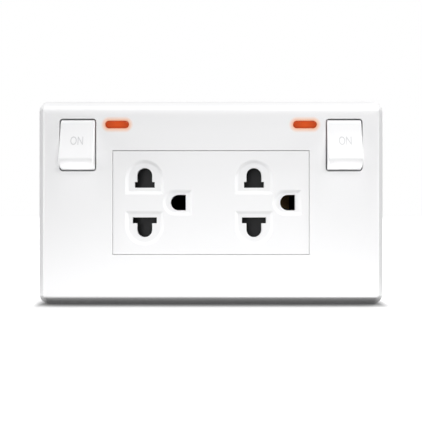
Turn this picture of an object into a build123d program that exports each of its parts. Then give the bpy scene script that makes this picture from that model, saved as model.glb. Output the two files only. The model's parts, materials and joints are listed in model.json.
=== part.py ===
from build123d import *
from math import cos, radians, sin, sqrt
import os

# Switched double socket for a wall box, all sizes in millimetres.
# X runs to the right, Z up, and the front faces -Y. The wall is the plane y = 0,
# and the origin is the middle of the plate on that plane.

# Apertures: round pin and flat blade share one opening, earth pin has its own
pin_hole_r = 2.65
pin_row = 9.5
blade_low = 5.2
blade_high = 7.27
live_blade_width = 7.03
neutral_blade_width = 8.5
earth_offset = 11.89
earth_hole_r = 2.73
earth_flat = 2.55
dish_depth = 0.7
dish_draft = 52.0
dish_r = 5.7
dish_margin = 1.8
dish_step = 1.3
earth_dish_r = 3.45
earth_dish_end = 3.75

# Socket face: the insert with the apertures of both sockets, its skirt and its ledge
socket_spacing = 38.4
insert_left = 11.0
insert_right = 7.31
insert_border = 4.15
insert_gap = 0.15
insert_recess = 0.2
insert_thick = 2.5
skirt_overlap = 1.95
skirt_wall = 2.3
ledge_reach = 0.8
ledge_thick = 1.4

# Cover plate: a moulded shell with sloping sides that clips over the frame
switch_border = 8.95
rocker_border = 7.15
lens_border = 7.975
plate_rim = 1.5
plate_bevel = 3.3
plate_wall = 2.2
plate_corner = 3.6
face_corner = 1.0
plate_edge_round = 0.6
plate_top_round = 2.5
clip_spacing = 56.0
clip_width = 5.0
clip_thick = 1.2
clip_play = 0.3
clip_bite = 1.1
clip_lift = 0.2

# Mounting frame, with the slots for the screws of the wall box
frame_inset = 5.5
frame_thick = 2.0
frame_corner = 4.0
frame_play = 0.5
box_screw_gap = 6.25
box_screw_r = 2.1
box_screw_slot = 7.0

# Body screws, which hold housing, frame and socket face together
body_screw_inset = 5.5
body_screw_gap = 0.1
body_screw_r = 1.3
body_screw_head_r = 2.5
body_screw_head = 1.5
body_screw_grip = 3.0
body_boss_r = 2.6
body_boss_height = 4.0
hole_play = 0.3
screw_play = 0.02
screw_gap = 0.1
driver_slot = 0.6

# Shutters that slide to the right behind the apertures
shutter_thick = 2.5
shutter_slack = 0.2
shutter_reach = 4.4
shutter_bar = 2.0
shutter_travel = 8.7
shutter_margin = 0.5
shutter_ramp = 2.0
shutter_play = 0.15
retainer_thick = 1.4
retainer_play = 0.1
retainer_seat = 0.4
guide_thick = 1.0
shutter_spring_r = 1.0
shutter_wire_r = 0.18
shutter_spring_turns = 5
spring_margin = 0.6

# Rockers, with their ears on the frame and their plungers
switch_gap = 1.3
rocker_window_width = 12.9
rocker_window_height = 18.4
rocker_window_corner = 1.2
rocker_lip = 1.0
rocker_gap = 0.45
rocker_reach = 0.05
rocker_tilt = 15.0
rocker_crown = 5.8
rocker_valley = 0.4
rocker_nose_round = 1.6
rocker_edge_round = 0.5
rocker_wall = 1.5
trunnion_r = 1.2
trunnion_play = 0.05
trunnion_gap = 0.2
ear_thick = 1.8
ear_half = 2.4
ear_play = 0.3
ear_lip = 0.7
notch_mouth = 1.8
cheek_margin = 1.0
tube_r = 2.5
tube_reach = 5.0
plunger_r = 1.5
plunger_play = 0.1
plunger_gap = 0.3
plunger_centre = 7.2
plunger_length = 5.2
plunger_spring_length = 4.0
plunger_wire_r = 0.18
plunger_spring_turns = 3

# Switch contacts
lever_tilt = 9.0
lever_bend = 14.0
lever_thick = 0.8
lever_width = 4.0
lever_gap = 0.85
lower_arm = 6.2
upper_arm = 4.2
lever_pin_r = 0.7
lever_pin_play = 0.05
lever_pin_root = 0.2
lug_thick = 0.8
lug_half = 1.6
lug_play = 0.4
bracket_height = 6.8
tip_arm = 4.9
tip_r = 1.3
tip_height = 0.8
tip_gap = 0.25
tip_chamfer = 0.3
pad_half = 2.0

# Contact strips and clips
strip = 0.5
strip_width = 3.0
strap_width = 2.0
bus_width = 2.5
bus_gap = 0.4
clip_gap = 3.5
clip_length = 10.9
clip_half_width = 3.0
pin_grip = 2.3
earth_grip = 2.35
blade_grip = 0.2
flare = 0.3
leaf_mouth = 3.0

# Terminals
terminal_width = 7.0
terminal_depth = 5.2
terminal_height = 7.6
terminal_gap = 0.2
wire_hole_r = 1.75
wire_hole_depth = 6.2
clamp_screw_r = 1.5
clamp_head_r = 2.4
clamp_head = 1.5
line_terminal_x = -4.0
neutral_terminal_x = -9.5
earth_terminal_x = 3.0

# Rear housing
body_wall = 1.5
body_corner = 1.5
body_chamfer = 0.6
floor_thick = 1.8
flange_thick = 1.5
rib = 0.8
rib_gap = 0.35
seat_half = 2.0
bus_seat_x = 28.0
wing_wall = 1.3
wing_floor = 1.0
wing_gap = 0.4
wing_clear = 0.1
entry_play = 0.35

# Indicator lamps
lens_spacing = 3.25
lens_width = 8.1
lens_height = 2.45
lens_corner = 1.2
lens_gap = 0.1
lens_proud = 0.15
lens_flange = 1.0
lens_flange_thick = 0.8
lens_chamfer = 0.3
lamp_r = 1.75
lamp_length = 9.0
lamp_gap = 0.2
lamp_clear = 0.55
resistor_gap = 2.6
resistor_r = 1.1
resistor_length = 6.5
lead_r = 0.3
lead_tail = 1.9
cradle_thick = 1.0
cradle_wall = 0.8
cradle_play = 0.03

# Socket face and housing, worked out from the apertures outwards
sides = {"left": -1, "right": 1}
aperture_top = pin_row + pin_hole_r
pin_half_x = max(neutral_blade_width, live_blade_width) / 2
insert_width = insert_left + socket_spacing + earth_offset + insert_right
insert_height = 2 * (aperture_top + dish_margin + insert_border)
left_column = insert_left - insert_width / 2
columns = {"left": left_column, "right": left_column + socket_spacing}
skirt_width = insert_width + 2 * (insert_gap + skirt_overlap)
skirt_height = insert_height + 2 * (insert_gap + skirt_overlap)
cavity_width = skirt_width - 2 * skirt_wall
cavity_height = skirt_height - 2 * skirt_wall
tray_x = cavity_width / 2 - retainer_play
tray_z = cavity_height / 2 - retainer_seat
body_width = 2 * (tray_x + body_wall)
body_height = 2 * (tray_z + body_wall)
body_screw_x = body_width / 2 - body_screw_inset
body_screw_z = body_height / 2 + body_screw_gap + body_screw_head_r
flange_width = skirt_width + 2 * ledge_reach
flange_height = 2 * (body_screw_z + body_boss_r)
box_screw_spacing = body_width + 2 * box_screw_gap

# Places of switches and lamps round the socket face, and the plate that covers them
rocker_width = rocker_window_width - 2 * rocker_gap
rocker_r = rocker_window_height / 2 + rocker_reach
switch_x = flange_width / 2 + switch_gap + ear_thick + ear_play + rocker_width / 2
lens_x = switch_x - rocker_window_width / 2 - lens_spacing - lens_width / 2
lens_z = flange_height / 2 + lamp_clear + cradle_wall + lamp_r
resistor_x = lens_x - lamp_length / 2 - resistor_gap - resistor_length / 2
plate_width = 2 * (switch_x + rocker_window_width / 2 + switch_border)
plate_height = 2 * (lens_z + lens_height / 2 + lens_border)
switch_z = plate_height / 2 - rocker_border - rocker_window_height / 2
frame_width = plate_width - 2 * frame_inset
frame_height = plate_height - 2 * frame_inset

# Heights of contacts and strips
shutter_top = aperture_top + shutter_margin
shutter_low = blade_low - shutter_margin
clip_low = blade_low + blade_grip - flare / 2 - strip
clip_high = pin_row + pin_grip + flare / 2 + strip
strap_low = clip_high - strap_width
earth_half = earth_grip + flare / 2 + strip
rib_row = clip_low - rib_gap - rib / 2
bus_high = tray_z - bus_gap
bus_low = bus_high - bus_width
bracket_half = lever_width / 2 + lug_play + lug_thick
wing_outer = switch_x + bracket_half + wing_gap + wing_wall
wing_low = strap_low - wing_clear - wing_wall
wing_high = switch_z + upper_arm + lever_gap + wing_wall

# Depths, from the front to the back
front_y = -(
    insert_recess + insert_thick + shutter_slack + shutter_thick + shutter_slack + retainer_thick + frame_thick
)
inner_y = front_y + plate_wall
insert_y = front_y + insert_recess
insert_back_y = insert_y + insert_thick
shutter_y = insert_back_y + shutter_slack
shutter_back_y = shutter_y + shutter_thick
retainer_y = shutter_back_y + shutter_slack
retainer_back_y = retainer_y + retainer_thick
frame_y = -frame_thick
clip_step_y = frame_y / 2
lens_back_y = inner_y + lens_flange_thick
lamp_y = lens_back_y + lamp_gap + lamp_r
pivot_y = inner_y + trunnion_gap + trunnion_r
lever_y = pivot_y + plunger_centre + plunger_r + plunger_gap
spring_seat = plunger_centre - plunger_length - plunger_spring_length
clip_y = retainer_back_y + clip_gap
clip_back_y = clip_y + clip_length
strip_back_y = clip_back_y + strip
floor_y = strip_back_y + terminal_depth
body_back_y = floor_y + floor_thick
bus_y = lever_y + bracket_height
bus_back_y = bus_y + strip
wing_floor_y = max(bus_back_y, strip_back_y) + wing_floor
wing_back_y = wing_floor_y + wing_wall


def at_depth(y):
    """The upright plane at this depth, X to the right and Z up, facing the front."""
    return Plane.XZ.offset(-y)


def tilted(x, y, z, angle):
    """The plane across a level axis: first direction to the front, second up, turned about +X."""
    turn = radians(angle)
    return Plane(origin=(x, y, z), x_dir=(0, -cos(turn), -sin(turn)), z_dir=(-1, 0, 0))


def area(x0, x1, z0, z1, mode=Mode.ADD):
    """A rectangle between these limits, in the sketch that is being made."""
    with Locations(((x0 + x1) / 2, (z0 + z1) / 2)):
        Rectangle(abs(x1 - x0), abs(z1 - z0), mode=mode)


def block(x0, x1, y0, y1, z0, z1, mode=Mode.ADD):
    """A straight-sided rib or pocket between these limits, in the part that is being made."""
    with Locations(((x0 + x1) / 2, (y0 + y1) / 2, (z0 + z1) / 2)):
        Box(abs(x1 - x0), abs(y1 - y0), abs(z1 - z0), mode=mode)


def keep(name, part):
    """Label a finished piece and write its STEP file."""
    part.label = name
    export_step(part, f"parts/{name}.step")


os.makedirs("parts", exist_ok=True)


def pin_apertures(depth):
    """The six pin openings of both sockets, as one sketch at this depth."""
    with BuildSketch(at_depth(depth)) as openings:
        for column in columns.values():
            for up, blade_width in ((1, live_blade_width), (-1, neutral_blade_width)):
                with Locations((column, up * pin_row)):
                    Circle(pin_hole_r)
                area(column - pin_hole_r, column + pin_hole_r, up * blade_low, up * pin_row)
                area(column - blade_width / 2, column + blade_width / 2, up * blade_low, up * blade_high)
            earth_x = column + earth_offset
            flat = earth_x + earth_flat
            with Locations((earth_x, 0)):
                Circle(earth_hole_r)
            area(earth_x, flat, -earth_hole_r, earth_hole_r)
            area(flat, flat + earth_hole_r, -earth_hole_r, earth_hole_r, mode=Mode.SUBTRACT)
    return openings.sketch


def dishes(depth):
    """The floors of the shallow dishes round the openings, as one sketch at this depth."""
    with BuildSketch(at_depth(depth)) as floors:
        for column in columns.values():
            for up in (1, -1):
                with Locations((column, up * (aperture_top + dish_margin - dish_r))):
                    Circle(dish_r)
                straight = blade_low - dish_step
                area(column - dish_r, column + dish_r, up * straight, up * (aperture_top + dish_margin - dish_r))
                area(
                    column - dish_r,
                    column + dish_r,
                    up * (straight - dish_r),
                    up * straight,
                    mode=Mode.SUBTRACT,
                )
        for column in columns.values():
            centre = column + earth_offset - earth_hole_r - dish_margin + earth_dish_r
            with Locations((centre, 0)):
                Circle(earth_dish_r)
            area(centre, column + earth_offset + earth_dish_end, -earth_dish_r, earth_dish_r)
    return floors.sketch


# Cover plate
with BuildPart() as cover_plate:
    with BuildSketch(at_depth(0)):
        RectangleRounded(plate_width, plate_height, plate_corner)
    extrude(amount=plate_rim)
    with BuildSketch(at_depth(-plate_rim)):
        RectangleRounded(plate_width, plate_height, plate_corner)
    with BuildSketch(at_depth(front_y)):
        RectangleRounded(plate_width - 2 * plate_bevel, plate_height - 2 * plate_bevel, face_corner)
    loft(ruled=True)
    fillet(cover_plate.faces().sort_by(Axis.Y)[0].edges(), plate_edge_round)
    slope = Vector(-plate_rim - front_y, plate_bevel).normalized()
    edge = Vector(front_y, plate_height / 2 - plate_bevel)
    reach = plate_top_round * (1 - slope.Y) / slope.X
    face_end = edge - Vector(0, reach)
    slope_end = edge + slope * reach
    with BuildSketch(Plane.YZ):
        with BuildLine():
            TangentArc(face_end, slope_end, tangent=(0, 1))
            Polyline(
                slope_end,
                (slope_end.X, plate_height),
                (2 * front_y, plate_height),
                (2 * front_y, face_end.Y),
                face_end,
            )
        make_face()
    extrude(amount=plate_width, both=True, mode=Mode.SUBTRACT)
    with BuildSketch(at_depth(0)):
        RectangleRounded(plate_width - 2 * plate_wall, plate_height - 2 * plate_wall, plate_corner - plate_wall)
    with BuildSketch(at_depth(inner_y)):
        RectangleRounded(
            plate_width - 2 * (plate_wall + plate_bevel),
            plate_height - 2 * (plate_wall + plate_bevel),
            face_corner,
        )
    loft(ruled=True, mode=Mode.SUBTRACT)
    with BuildSketch(at_depth(inner_y)):
        Rectangle(insert_width + 2 * insert_gap, insert_height + 2 * insert_gap)
        with Locations(*[(sx * switch_x, switch_z) for sx in sides.values()]):
            RectangleRounded(rocker_window_width, rocker_window_height, rocker_window_corner)
        with Locations(*[(sx * lens_x, lens_z) for sx in sides.values()]):
            RectangleRounded(lens_width + 2 * lens_gap, lens_height + 2 * lens_gap, lens_corner + lens_gap)
    extrude(amount=plate_wall, mode=Mode.SUBTRACT)
    with BuildSketch(at_depth(inner_y)):
        with Locations(*[(sx * switch_x, switch_z) for sx in sides.values()]):
            RectangleRounded(
                rocker_window_width + 2 * rocker_lip,
                rocker_window_height + 2 * rocker_lip,
                rocker_window_corner,
            )
    extrude(amount=plate_wall - rocker_lip, mode=Mode.SUBTRACT)
    for sx in sides.values():
        for sz in (-1, 1):
            edge = sz * (frame_height / 2 + clip_play)
            step_y = clip_step_y + clip_lift / 2
            with BuildSketch(Plane.YZ.offset(sx * clip_spacing / 2 - clip_width / 2)):
                with BuildLine():
                    Polyline(
                        (inner_y - plate_wall / 2, edge),
                        (step_y, edge),
                        (step_y, edge - sz * clip_bite),
                        (-clip_lift, edge),
                        (-clip_lift, edge + sz * clip_thick),
                        (inner_y - plate_wall / 2, edge + sz * clip_thick),
                        close=True,
                    )
                make_face()
            extrude(amount=clip_width)
keep("cover_plate", cover_plate.part)


# Mounting frame with the rocker ears and the lamp cradles
with BuildPart() as mounting_frame:
    with BuildSketch(at_depth(0)):
        RectangleRounded(frame_width, frame_height, frame_corner)
        Rectangle(body_width + 2 * frame_play, body_height + 2 * frame_play, mode=Mode.SUBTRACT)
        with Locations(*[(sx * switch_x, switch_z) for sx in sides.values()]):
            Rectangle(rocker_width - rocker_wall, 2 * lower_arm, mode=Mode.SUBTRACT)
        with Locations(*[(sx * box_screw_spacing / 2, 0) for sx in sides.values()]):
            SlotOverall(box_screw_slot, 2 * box_screw_r, mode=Mode.SUBTRACT)
        with GridLocations(2 * body_screw_x, 2 * body_screw_z, 2, 2):
            Circle(body_screw_r + hole_play, mode=Mode.SUBTRACT)
    extrude(amount=frame_thick)
    for sx in sides.values():
        for sz in (-1, 1):
            block(
                sx * clip_spacing / 2 - clip_width / 2 - clip_play,
                sx * clip_spacing / 2 + clip_width / 2 + clip_play,
                clip_step_y,
                0,
                sz * (frame_height / 2 - clip_bite),
                sz * frame_height / 2,
                mode=Mode.SUBTRACT,
            )
    for sx in sides.values():
        for ear_side in (-1, 1):
            inner_x = sx * switch_x + ear_side * (rocker_width / 2 + ear_play)
            with BuildSketch(Plane.YZ.offset(inner_x)):
                area(pivot_y - ear_lip, frame_y, switch_z - ear_half, switch_z + ear_half)
                with Locations((pivot_y, switch_z)):
                    Circle(trunnion_r + trunnion_play, mode=Mode.SUBTRACT)
                with Locations((pivot_y - trunnion_r, switch_z)):
                    Rectangle(2 * trunnion_r, notch_mouth * trunnion_r, mode=Mode.SUBTRACT)
            extrude(amount=ear_side * ear_thick)
        for x, r, length in ((lens_x, lamp_r, lamp_length), (resistor_x, resistor_r, resistor_length)):
            for offset in (-length / 3, length / 3):
                with BuildSketch(Plane.YZ.offset(sx * x + offset - cradle_thick / 2)):
                    area(lamp_y, frame_y, lens_z - r - cradle_wall, lens_z + r + cradle_wall)
                    with Locations((lamp_y, lens_z)):
                        Circle(r + cradle_play, mode=Mode.SUBTRACT)
                extrude(amount=cradle_thick)
keep("mounting_frame", mounting_frame.part)


# Socket face: insert, skirt and ledge in one moulding
with BuildPart() as socket_face:
    with BuildSketch(at_depth(insert_back_y)):
        Rectangle(insert_width, insert_height)
    extrude(amount=insert_thick)
    with BuildSketch(at_depth(frame_y)):
        Rectangle(skirt_width, skirt_height)
    extrude(amount=frame_y - inner_y)
    with BuildSketch(at_depth(frame_y)):
        RectangleRounded(flange_width, flange_height, body_boss_r)
    extrude(amount=ledge_thick)
    with BuildSketch(at_depth(frame_y)):
        with GridLocations(2 * body_screw_x, 2 * body_screw_z, 2, 2):
            Circle(body_boss_r)
    extrude(amount=body_boss_height)
    with BuildSketch(at_depth(frame_y)):
        Rectangle(cavity_width, cavity_height)
    extrude(amount=frame_y - insert_back_y, mode=Mode.SUBTRACT)
    with BuildSketch(at_depth(frame_y)):
        with GridLocations(2 * body_screw_x, 2 * body_screw_z, 2, 2):
            Circle(body_screw_r + screw_play)
    extrude(amount=body_screw_grip + screw_gap, mode=Mode.SUBTRACT)
    extrude(dishes(insert_y + dish_depth), amount=dish_depth, taper=-dish_draft, mode=Mode.SUBTRACT)
    extrude(pin_apertures(insert_back_y), amount=insert_thick, mode=Mode.SUBTRACT)
keep("socket_face", socket_face.part)


# Shutters: a bar with two ramped arms each
def shutter(column):
    with BuildPart() as slider:
        for up in (1, -1):
            with BuildSketch(Plane.XY.offset(up * shutter_low)):
                with BuildLine():
                    Polyline(
                        (column - shutter_reach, shutter_back_y),
                        (column - shutter_reach, shutter_y + shutter_ramp),
                        (column + pin_hole_r, shutter_y),
                        (column + shutter_reach, shutter_y),
                        (column + shutter_reach, shutter_back_y),
                        close=True,
                    )
                make_face()
            extrude(amount=up * (shutter_top - shutter_low))
        block(
            column - shutter_reach,
            column - shutter_reach + shutter_bar,
            shutter_y + shutter_ramp,
            shutter_back_y,
            -shutter_low,
            shutter_low,
        )
        block(
            column - shutter_reach,
            column - shutter_reach + shutter_bar,
            shutter_y,
            shutter_back_y,
            -shutter_spring_r - spring_margin,
            shutter_spring_r + spring_margin,
        )
    return slider.part


def coil_spring(start, direction, length, radius, wire_r, turns):
    """A coil spring of round wire from this point along this direction."""
    with BuildPart() as spring:
        with BuildLine() as path:
            Helix(length / turns, length, radius, center=start, direction=direction)
        with BuildSketch(Plane(origin=path.line @ 0, z_dir=path.line % 0)):
            RegularPolygon(wire_r, 4)
        sweep(path=path.line, is_frenet=True)
    return spring.part


shutter_spring_y = shutter_back_y - shutter_spring_r - shutter_wire_r
spring_post = earth_offset - earth_hole_r - guide_thick
for side, column in columns.items():
    keep(f"shutter_{side}", shutter(column))
    spring_start = column - shutter_reach + shutter_bar + shutter_wire_r
    spring_end = column + spring_post - shutter_wire_r
    keep(
        f"shutter_spring_{side}",
        coil_spring(
            (spring_start, shutter_spring_y, 0),
            (1, 0, 0),
            spring_end - spring_start,
            shutter_spring_r,
            shutter_wire_r,
            shutter_spring_turns,
        ),
    )


# Shutter retainer: plate with pin holes, shutter guides, stops and spring posts
with BuildPart() as shutter_retainer:
    with BuildSketch(at_depth(retainer_back_y)):
        Rectangle(cavity_width - 2 * retainer_play, cavity_height - 2 * retainer_play)
        for column in columns.values():
            for up in (1, -1):
                area(
                    column - pin_half_x - shutter_play,
                    column + pin_half_x + shutter_play,
                    up * (blade_low - shutter_play),
                    up * (aperture_top + shutter_play),
                    mode=Mode.SUBTRACT,
                )
            with Locations((column + earth_offset, 0)):
                RectangleRounded(
                    2 * (earth_hole_r + retainer_play),
                    2 * (earth_hole_r + retainer_play),
                    guide_thick,
                    mode=Mode.SUBTRACT,
                )
    extrude(amount=retainer_thick)
    for column in columns.values():
        stop = column - shutter_reach - retainer_play
        guide = shutter_top + shutter_play
        for up in (1, -1):
            block(
                stop - guide_thick,
                column + shutter_reach + shutter_travel,
                shutter_y,
                retainer_y,
                up * guide,
                up * (guide + guide_thick),
            )
        block(stop - guide_thick, stop, shutter_y, retainer_y, -guide, guide)
        block(
            column + spring_post,
            column + spring_post + guide_thick,
            shutter_y,
            retainer_y,
            -earth_hole_r,
            earth_hole_r,
        )
keep("shutter_retainer", shutter_retainer.part)


# Rockers: hollow, with trunnions at the sides and a tube for the plunger
def rocker(x):
    plane = tilted(x, pivot_y, switch_z, -rocker_tilt)
    tube_mouth = Plane(origin=plane.origin, x_dir=(1, 0, 0), z_dir=plane.x_dir).offset(-tube_reach)
    half = rocker_width / 2
    crown = rocker_crown
    nose = sqrt(rocker_r**2 - crown**2)
    inner_r = rocker_r - rocker_wall
    inner_crown = crown - rocker_valley - rocker_wall
    inner_nose = sqrt(inner_r**2 - inner_crown**2)
    with BuildPart() as body:
        with BuildSketch(plane) as section:
            with BuildLine():
                ThreePointArc((crown, -nose), (crown - rocker_valley, 0), (crown, nose))
                RadiusArc((crown, nose), (0, rocker_r), -rocker_r)
                Line((0, rocker_r), (0, -rocker_r))
                RadiusArc((0, -rocker_r), (crown, -nose), -rocker_r)
            make_face()
            fillet(section.vertices().group_by(Axis.X)[-1], rocker_nose_round)
        extrude(amount=half, both=True)
        rims = body.faces().filter_by(Axis.X).edges().filter_by(GeomType.LINE, reverse=True)
        fillet(rims, rocker_edge_round)
        with BuildSketch(plane):
            with BuildLine():
                Line((inner_crown, -inner_nose), (inner_crown, inner_nose))
                RadiusArc((inner_crown, inner_nose), (0, inner_r), -inner_r)
                Line((0, inner_r), (0, -inner_r))
                RadiusArc((0, -inner_r), (inner_crown, -inner_nose), -inner_r)
            make_face()
        extrude(amount=half - rocker_wall, both=True, mode=Mode.SUBTRACT)
        for end in (-1, 1):
            with BuildSketch(Plane.YZ.offset(x + end * (half - rocker_wall))):
                with Locations((pivot_y, switch_z)):
                    Circle(trunnion_r + cheek_margin)
            extrude(amount=end * rocker_wall)
            with BuildSketch(Plane.YZ.offset(x + end * half)):
                with Locations((pivot_y, switch_z)):
                    Circle(trunnion_r)
            extrude(amount=end * (ear_play + ear_thick))
        with BuildSketch(tube_mouth):
            Circle(tube_r)
        extrude(amount=tube_reach + inner_crown)
        with BuildSketch(tube_mouth):
            Circle(plunger_r + plunger_play)
        extrude(amount=tube_reach - spring_seat, mode=Mode.SUBTRACT)
    return body.part


# Plungers: a round-nosed pin in each rocker's tube, pushed out by a coil spring
def plunger(x):
    plane = tilted(x, pivot_y, switch_z, -rocker_tilt)
    with BuildPart() as pin:
        with BuildSketch(plane):
            with BuildLine():
                Line((-plunger_centre - plunger_r, 0), (plunger_length - plunger_centre, 0))
                Line((plunger_length - plunger_centre, 0), (plunger_length - plunger_centre, plunger_r))
                Line((plunger_length - plunger_centre, plunger_r), (-plunger_centre, plunger_r))
                RadiusArc((-plunger_centre, plunger_r), (-plunger_centre - plunger_r, 0), -plunger_r)
            make_face()
        revolve(axis=Axis(plane.origin, plane.x_dir))
    return pin.part


for side, sx in sides.items():
    rocker_plane = tilted(sx * switch_x, pivot_y, switch_z, -rocker_tilt)
    keep(f"rocker_{side}", rocker(sx * switch_x))
    keep(f"plunger_{side}", plunger(sx * switch_x))
    spring_foot = rocker_plane.from_local_coords((-spring_seat - plunger_wire_r, 0, 0))
    keep(
        f"plunger_spring_{side}",
        coil_spring(
            spring_foot,
            -rocker_plane.x_dir,
            plunger_spring_length - 2 * plunger_wire_r,
            plunger_r - 2 * plunger_wire_r,
            plunger_wire_r,
            plunger_spring_turns,
        ),
    )


# Contact levers: bent strips that tip on two pins in the feed brackets
def lever(x):
    bend = radians(lever_bend)
    with BuildPart() as arm:
        with BuildSketch(tilted(x, lever_y, switch_z, lever_tilt)):
            with BuildLine():
                Polyline(
                    (lower_arm * sin(bend), -lower_arm * cos(bend)),
                    (0, 0),
                    (upper_arm * sin(bend), upper_arm * cos(bend)),
                    (
                        upper_arm * sin(bend) - lever_thick * cos(bend),
                        upper_arm * cos(bend) + lever_thick * sin(bend),
                    ),
                    (-lever_thick / cos(bend), 0),
                    (
                        lower_arm * sin(bend) - lever_thick * cos(bend),
                        -lower_arm * cos(bend) - lever_thick * sin(bend),
                    ),
                    close=True,
                )
            make_face()
        extrude(amount=lever_width / 2, both=True)
        for end in (-1, 1):
            with BuildSketch(Plane.YZ.offset(x + end * (lever_width / 2 - lever_pin_root))):
                with Locations((lever_y, switch_z)):
                    Circle(lever_pin_r)
            extrude(amount=end * (lever_pin_root + lug_play + lug_thick))
    return arm.part


def lever_tip(x):
    """The plane on the back of the lever's lower arm where its contact rivet sits."""
    bend = radians(lever_bend)
    plane = tilted(x, lever_y, switch_z, lever_tilt)
    spot = plane.from_local_coords(
        (
            tip_arm * sin(bend) - lever_thick * cos(bend),
            -tip_arm * cos(bend) - lever_thick * sin(bend),
            0,
        )
    )
    back = plane.from_local_coords((-cos(bend), -sin(bend), 0)) - plane.origin
    return Plane(origin=spot, x_dir=(1, 0, 0), z_dir=back)


for side, sx in sides.items():
    keep(f"seesaw_{side}", lever(sx * switch_x))
    with BuildPart() as moving_tip:
        with BuildSketch(lever_tip(sx * switch_x)):
            Circle(tip_r)
        extrude(amount=tip_height)
        chamfer(moving_tip.edges().sort_by(Axis.Y)[-1], tip_chamfer)
    keep(f"moving_tip_{side}", moving_tip.part)

closed_tip = lever_tip(0).offset(tip_height).origin
pad_y = closed_tip.Y + tip_gap + tip_height
pad_z = closed_tip.Z

with BuildPart() as fixed_tips:
    with BuildSketch(at_depth(pad_y)):
        with Locations(*[(sx * switch_x, pad_z) for sx in sides.values()]):
            Circle(tip_r)
    extrude(amount=tip_height)
    chamfer(fixed_tips.edges().group_by(Axis.Y)[0], tip_chamfer)
keep("fixed_tips", fixed_tips.part)


# Line strip: feeds both switches, with a folded bracket at each end for the lever's pins
with BuildPart() as line_bus:
    with BuildSketch(at_depth(bus_back_y)):
        area(-switch_x - bracket_half, switch_x + bracket_half, bus_low, bus_high)
        for sx in sides.values():
            area(
                sx * switch_x - bracket_half,
                sx * switch_x + bracket_half,
                bus_low,
                switch_z + lug_half,
            )
        area(
            line_terminal_x - terminal_width / 2,
            line_terminal_x + terminal_width / 2,
            bus_high - terminal_height,
            bus_high,
        )
    extrude(amount=strip)
    for sx in sides.values():
        for end in (-1, 1):
            with BuildSketch(Plane.YZ.offset(sx * switch_x + end * (bracket_half - lug_thick))):
                area(lever_y - lever_pin_r, bus_back_y, switch_z - lug_half, switch_z + lug_half)
                with Locations((lever_y, switch_z)):
                    Circle(lever_pin_r + lever_pin_play, mode=Mode.SUBTRACT)
                with Locations((lever_y - lever_pin_r, switch_z)):
                    Rectangle(2 * lever_pin_r, notch_mouth * lever_pin_r, mode=Mode.SUBTRACT)
            extrude(amount=end * lug_thick)
keep("line_bus", line_bus.part)


def leaf(x, grip, outward):
    """The section of one spring leaf of a clip, gripping at this height, flared at its mouth."""
    points = (
        (clip_back_y, grip + outward * flare / 2),
        (clip_y + leaf_mouth, grip),
        (clip_y, grip + outward * flare),
    )
    outer = [(y, z + outward * strip) for y, z in reversed(points)]
    with BuildSketch(Plane.YZ.offset(x - clip_half_width)) as section:
        with BuildLine():
            Polyline(*points, *outer, close=True)
        make_face()
    return section.sketch


def pin_leaves(column, up):
    """The sections of the three leaves that grip a round pin or a blade."""
    return (
        leaf(column, up * (pin_row + pin_grip), up),
        leaf(column, up * (pin_row - pin_grip), -up),
        leaf(column, up * (blade_low + blade_grip), -up),
    )


# Live clips: one for each socket, with a strap to the fixed contact of its switch
for side, sx in sides.items():
    column = columns[side]
    with BuildPart() as live_clip:
        with BuildSketch(at_depth(strip_back_y)):
            area(column - clip_half_width, column + clip_half_width, clip_low, clip_high)
            area(column, sx * (switch_x + pad_half), strap_low, clip_high)
        extrude(amount=strip)
        for section in pin_leaves(column, 1):
            extrude(section, amount=2 * clip_half_width)
        with BuildSketch(Plane.YZ.offset(sx * switch_x - pad_half)):
            area(pad_y, strip_back_y, clip_high - strip, clip_high)
            area(pad_y, pad_y + strip, clip_high - strip, pad_z + tip_r)
        extrude(amount=2 * pad_half)
    keep(f"live_clip_{side}", live_clip.part)

# Neutral strip with the lower clips of both sockets
with BuildPart() as neutral_bus:
    with BuildSketch(at_depth(strip_back_y)):
        for column in columns.values():
            area(column - clip_half_width, column + clip_half_width, -clip_high, -clip_low)
        area(columns["left"], columns["right"], -pin_row - strip_width / 2, strip_width / 2 - pin_row)
        area(
            neutral_terminal_x - terminal_width / 2,
            neutral_terminal_x + terminal_width / 2,
            -bus_high,
            strip_width / 2 - pin_row,
        )
    extrude(amount=strip)
    for column in columns.values():
        for section in pin_leaves(column, -1):
            extrude(section, amount=2 * clip_half_width)
keep("neutral_bus", neutral_bus.part)

# Earth strip with a two-leaf clip behind each earth opening
with BuildPart() as earth_bus:
    with BuildSketch(at_depth(strip_back_y)):
        for column in columns.values():
            earth_x = column + earth_offset
            area(earth_x - clip_half_width, earth_x + clip_half_width, -earth_half, earth_half)
        area(
            columns["left"] + earth_offset,
            columns["right"] + earth_offset,
            -strip_width / 2,
            strip_width / 2,
        )
    extrude(amount=strip)
    for column in columns.values():
        for up in (1, -1):
            extrude(leaf(column + earth_offset, up * earth_grip, up), amount=2 * clip_half_width)
keep("earth_bus", earth_bus.part)


# Terminals: brass blocks on the housing's floor, each with a wire hole and a clamp screw
shelf = body_height / 2 - body_wall - terminal_gap
earth_shelf = rib_row - rib / 2 - terminal_gap
terminals = {
    "line": (line_terminal_x, bus_back_y, shelf, 1, terminal_height),
    "neutral": (neutral_terminal_x, strip_back_y, -shelf, -1, terminal_height),
    "earth": (earth_terminal_x, strip_back_y, -earth_shelf, -1, 2 * earth_shelf),
}


def clamp_z(mouth, way):
    """The height of a terminal's clamp screw, over the middle of its wire hole."""
    return mouth - way * wire_hole_depth / 2


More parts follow.
